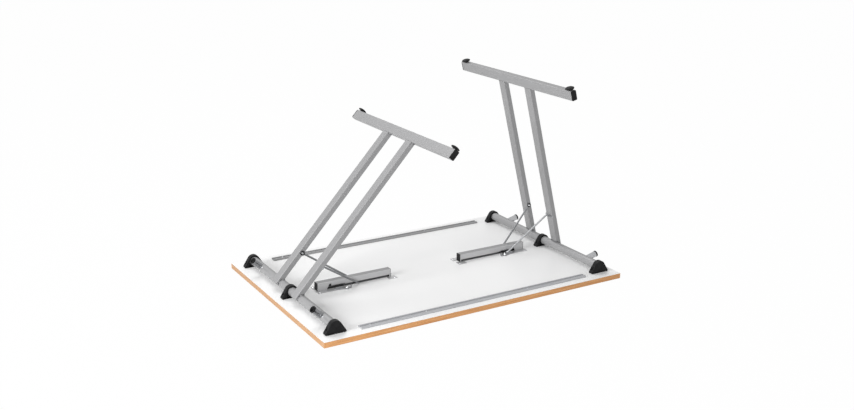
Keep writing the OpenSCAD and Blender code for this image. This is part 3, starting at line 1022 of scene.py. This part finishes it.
@dataclass
class LegFrame:
    """One folding frame: cross tube, legs, foot bar, link sockets and glides."""

    shop: Workshop
    side: Side
    bead: Bead = Bead()
    bead_steps: int = 40
    bead_inset: float = 1.5
    bush_l: float = 5.0
    bush_wall: float = 0.6
    bush_lip: float = 0.9
    bush_gap: float = 0.03
    bush_round: float = 0.4
    screw_step: float = 17.0
    screw_proud: float = 2.0
    recess_arm: float = 1.3
    recess_width: float = 0.7
    strap_u: float = 126.0
    strap_h: float = 10.0
    strap_t: float = 0.9
    strap_end: float = 5.0
    rim_u: float = 690.0
    rim_r: float = 14.6
    rim_width: float = 3.4
    rim_height: float = 4.2
    rim_sides: int = 12

    def build(self) -> None:
        """Dresses the frame and adds its welds, strap, bushes, screw recesses and glide rims."""
        self._dress(SILVER, "cross_tube", "near_leg", "far_leg", "foot_bar")
        self._dress(SOCKET[self.side], "link_sockets")
        self._dress(BRIGHT, "socket_screws")
        self._dress(ZINC, "glide_nuts")
        self._dress(BLACK, "foot_caps", "near_glide", "far_glide")
        self._welds()
        self._strap()
        self._bushes()
        self._recesses()
        self._rims()

    def _dress(self, finish: Finish, *parts: str) -> None:
        """Gives nodes of this frame a finish, by their names without the side's word."""
        self.shop.dress(finish, *(f"{self.side.word}_{part}" for part in parts))

    def _add(self, what: str, form: Form, finish: Finish, slot: str) -> None:
        """Puts a piece on the frame's body.

        Args:
            what: The piece's name without the side's word.
            form: Its form, in the frame's millimetres.
            finish: Its finish.
            slot: The record's material slot.
        """
        name = f"{self.side.word}_{what}"
        mesh = form.finish(name, self.shop.size.frame(self.side))
        self.shop.piece(name, mesh, finish, f"{self.side.word}_frame", slot)

    def _welds(self) -> None:
        """Lays beads round the legs' feet on the tube, and beside their heads on the foot bar."""
        size, steps = self.shop.size, self.bead_steps
        inner, outer = size.leg_face, size.leg_face + size.leg_t
        start = math.acos(inner / size.tube_r)
        end = -math.asin(size.leg_tail / size.tube_r)
        angles = [start + (end - start) * i / steps for i in range(steps + 1)]
        height = size.tube_r * math.sin(start)
        form = Form()
        for row in Row:
            middle = row.value * size.leg_y
            edges = (middle - size.leg_w / 2, middle + size.leg_w / 2)
            self._straight(form, *(Vector((inner, y, height)) for y in edges))
            for y in edges:
                arc = [
                    Vector((size.tube_r * math.cos(a), y, size.tube_r * math.sin(a)))
                    for a in angles
                ]
                form.bead(arc, self.bead)
                sides = (inner + self.bead_inset, outer - self.bead_inset)
                self._straight(form, *(Vector((x, y, size.bar_u)) for x in sides))
        self._add("weld_beads", form, WELD, "silver_paint")

    def _straight(self, form: Form, start: Vector, end: Vector) -> None:
        """Lays a straight bead."""
        steps = self.bead_steps
        form.bead([start.lerp(end, i / steps) for i in range(steps + 1)], self.bead)

    def _strap(self) -> None:
        """Folds a strap round the near leg's inner corner, at the height of the strut's bolt."""
        size, thick = self.shop.size, self.strap_t
        face, end = size.leg_face, size.leg_face + self.strap_end
        low, high = -size.leg_y - size.leg_w / 2, -size.leg_y + size.leg_w / 2
        outline = [
            (face, high),
            (face, low),
            (end, low),
            (end, low - thick),
            (face - thick, low - thick),
            (face - thick, high),
        ]
        form = Form()
        under, over = self.strap_u - self.strap_h / 2, self.strap_u + self.strap_h / 2
        form.plate(outline, under, over, Matrix())
        self._add("leg_strap", form, ZINC, "zinc")

    def _bushes(self) -> None:
        """Slips a black bush over each socket's mouth, with the bore left open."""
        size, bend = self.shop.size, self.bush_round
        back, front = size.socket_reach - self.bush_l, size.socket_reach + self.bush_lip
        outer, seat = size.socket_r + self.bush_wall, size.socket_r + self.bush_gap
        mouth = size.socket_reach + self.bush_gap
        section = [
            (back, seat),
            (back, outer - bend),
            (back + bend, outer),
            (front - bend, outer),
            (front, outer - bend),
            (front, size.bore_r + bend),
            (front - bend, size.bore_r),
            (mouth, size.bore_r),
            (mouth, seat),
        ]
        form = Form()
        for y in (size.socket_near_y, size.socket_far_y):
            form.collar(section, Vector((0.0, y, 0.0)))
        self._add("socket_bushes", form, BLACK, "black_plastic")

    def _recesses(self) -> None:
        """Marks the screws beside the sockets."""
        size = self.shop.size
        head = size.tube_r + self.screw_proud
        places = [
            Matrix.Translation((head, y - self.screw_step, 0.0))
            @ Matrix.Rotation(math.pi / 2, 4, "Y")
            for y in (size.socket_near_y, size.socket_far_y)
        ]
        name, body = f"{self.side.word}_socket_screw_recesses", f"{self.side.word}_frame"
        recesses = Recesses(self.shop, arm=self.recess_arm, width=self.recess_width)
        recesses.cut(name, body, places, size.frame(self.side))

    def _rims(self) -> None:
        """Lays a soft rubber rim round each glide's foot."""
        size = self.shop.size
        half_h, half_w = self.rim_height / 2, self.rim_width / 2
        section = [
            (half_h * math.sin(a), self.rim_r + half_w * math.cos(a))
            for a in turns(self.rim_sides)
        ]
        upright = Matrix.Rotation(-math.pi / 2, 4, "Y")
        for row in Row:
            form = Form()
            form.collar(section, Vector())
            spot = (size.leg_offset, row.value * size.glide_y, self.rim_u)
            body = f"{self.side.word}_{row.word}_glide"
            name = f"{body}_rim"
            pose = size.frame(self.side) @ Matrix.Translation(spot) @ upright
            self.shop.piece(name, form.finish(name, pose), BLACK, body, "black_plastic")


@dataclass
class Braces:
    """The two struts of a frame with their bolts and washers."""

    shop: Workshop
    side: Side

    def build(self) -> None:
        """Dresses the struts, of which the right near one is the brightest: the others carry
        painted shade.
        """
        word = self.side.word
        # The struts other than the right near one get the zinc with painted shade.
        near = ZINC if self.side is Side.RIGHT else SHADED_ZINC
        self.shop.dress(near, f"{word}_near_strut")
        self.shop.dress(SHADED_ZINC, f"{word}_far_strut")
        self.shop.dress(ZINC, f"{word}_strut_bolts")
        self.shop.dress(BLACK, f"{word}_strut_washers")


@dataclass(frozen=True)
class Viewpoint:
    """The camera at the photograph's place: metres and degrees, and the lens in millimetres."""

    place: Triple = (-1.82985, -3.04259, 1.38265)
    yaw: float = 31.15
    pitch: float = 17.48
    roll: float = 0.54
    lens: float = 43.21
    sensor: float = 36.0
    clip: Span = (0.05, 60.0)

    def build(self) -> None:
        """Makes the camera and puts it in the scene."""
        yaw, pitch, roll = (math.radians(angle) for angle in (self.yaw, self.pitch, self.roll))
        ahead = Vector(
            (math.sin(yaw) * math.cos(pitch), math.cos(yaw) * math.cos(pitch), -math.sin(pitch))
        )
        level = Vector((math.cos(yaw), -math.sin(yaw), 0.0))
        upright = level.cross(ahead)
        across = level * math.cos(roll) + upright * math.sin(roll)
        above = upright * math.cos(roll) - level * math.sin(roll)
        data = bpy.data.cameras.new("photo_camera")
        data.lens, data.sensor_width, data.sensor_fit = self.lens, self.sensor, "HORIZONTAL"
        data.clip_start, data.clip_end = self.clip
        camera = bpy.data.objects.new("photo_camera", data)
        bpy.context.scene.collection.objects.link(camera)
        turn = Matrix((across, above, -ahead)).transposed().to_4x4()
        camera.matrix_world = Matrix.Translation(self.place) @ turn
        bpy.context.scene.camera = camera


@dataclass(frozen=True)
class Softbox:
    """A square lamp that faces the table: metres and watts."""

    name: str
    place: Triple
    size: float
    power: float
    target: Triple = (0.0, 0.0, 0.2)

    def build(self) -> None:
        """Makes the lamp."""
        data = bpy.data.lights.new(self.name, "AREA")
        data.shape, data.size, data.energy = "SQUARE", self.size, self.power
        lamp = bpy.data.objects.new(self.name, data)
        bpy.context.scene.collection.objects.link(lamp)
        aim = Vector(self.target) - Vector(self.place)
        turn = aim.to_track_quat("-Z", "Y").to_matrix().to_4x4()
        lamp.matrix_world = Matrix.Translation(self.place) @ turn


@dataclass
class Studio:
    """White surroundings, a pale floor and soft lamps."""

    sky_level: float = 0.41
    floor_half: float = 14.0
    floor_drop: float = 0.4 * MM
    floor_white_share: float = 0.985
    floor_tone: Colour = (0.7, 0.7, 0.7, 1.0)
    lamps: tuple[Softbox, ...] = (
        Softbox("key_softbox", (-4.2, -0.9, 1.5), 1.8, 162.0),
        Softbox("top_softbox", (-0.2, 2.0, 3.6), 2.4, 58.0),
        Softbox("front_softbox", (-1.5, -2.4, 0.45), 1.0, 30.0),
    )

    def build(self) -> None:
        """Makes world, floor and lamps, and sets the view transform."""
        bpy.context.scene.view_settings.view_transform = "Standard"
        self._world()
        self._floor()
        for lamp in self.lamps:
            lamp.build()

    @staticmethod
    def _seen(graph: Graph) -> Sock:
        """Tells what the camera sees, also in a mirror or through glass, from the rest.

        Args:
            graph: The floor's or the world's node tree.

        Returns:
            1 for the rays of what is seen and 0 for the rest.
        """
        camera, mirror, glass = (
            graph.add("ShaderNodeLightPath", output=f"Is {kind} Ray")
            for kind in ("Camera", "Glossy", "Transmission")
        )
        return (camera + mirror + glass).at_most(1.0)

    def _world(self) -> None:
        """White for what is seen, and an even sky that lights the rest."""
        world = bpy.data.worlds.new("studio")
        world.use_nodes = True
        graph = Graph(world.node_tree)
        seen = self._seen(graph)
        lit, white = (
            graph.add("ShaderNodeBackground", {}, {"Color": WHITE, "Strength": level})
            for level in (self.sky_level, 1.0)
        )
        both = graph.add("ShaderNodeMixShader", {}, {0: seen, 1: lit, 2: white})
        graph.add("ShaderNodeOutputWorld", {}, {"Surface": both})
        bpy.context.scene.world = world

    def _floor(self) -> None:
        """A wide pale floor that keeps a trace of the shadow."""
        half, low = self.floor_half, -self.floor_drop
        mesh = bpy.data.meshes.new("floor")
        square = [(-half, -half, low), (half, -half, low), (half, half, low), (-half, half, low)]
        mesh.from_pydata(square, [], [(0, 1, 2, 3)])
        floor = bpy.data.objects.new("floor", mesh)
        bpy.context.scene.collection.objects.link(floor)
        material = bpy.data.materials.new("pale_floor")
        material.use_nodes = True
        graph = Graph(material.node_tree)
        matt = graph.add("ShaderNodeBsdfDiffuse", {}, {"Color": self.floor_tone})
        white = graph.add("ShaderNodeEmission", {}, {"Color": WHITE, "Strength": 1.0})
        share = self._seen(graph) * self.floor_white_share
        both = graph.add("ShaderNodeMixShader", {}, {0: share, 1: matt, 2: white})
        graph.add("ShaderNodeOutputMaterial", {}, {"Surface": both})
        mesh.materials.append(material)


def main() -> None:
    """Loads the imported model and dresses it."""
    logging.basicConfig(level=logging.INFO, format="%(message)s", stream=sys.stdout)
    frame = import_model()
    shop = Workshop(frame["nodes"], Paintbox())
    Viewpoint().build()
    Studio().build()
    for assembly in (TableTop(shop), Rails(shop), Bearings(shop), Housings(shop)):
        assembly.build()
    for side in Side:
        LegFrame(shop, side).build()
        Braces(shop, side).build()


if __name__ == "__main__":
    main()
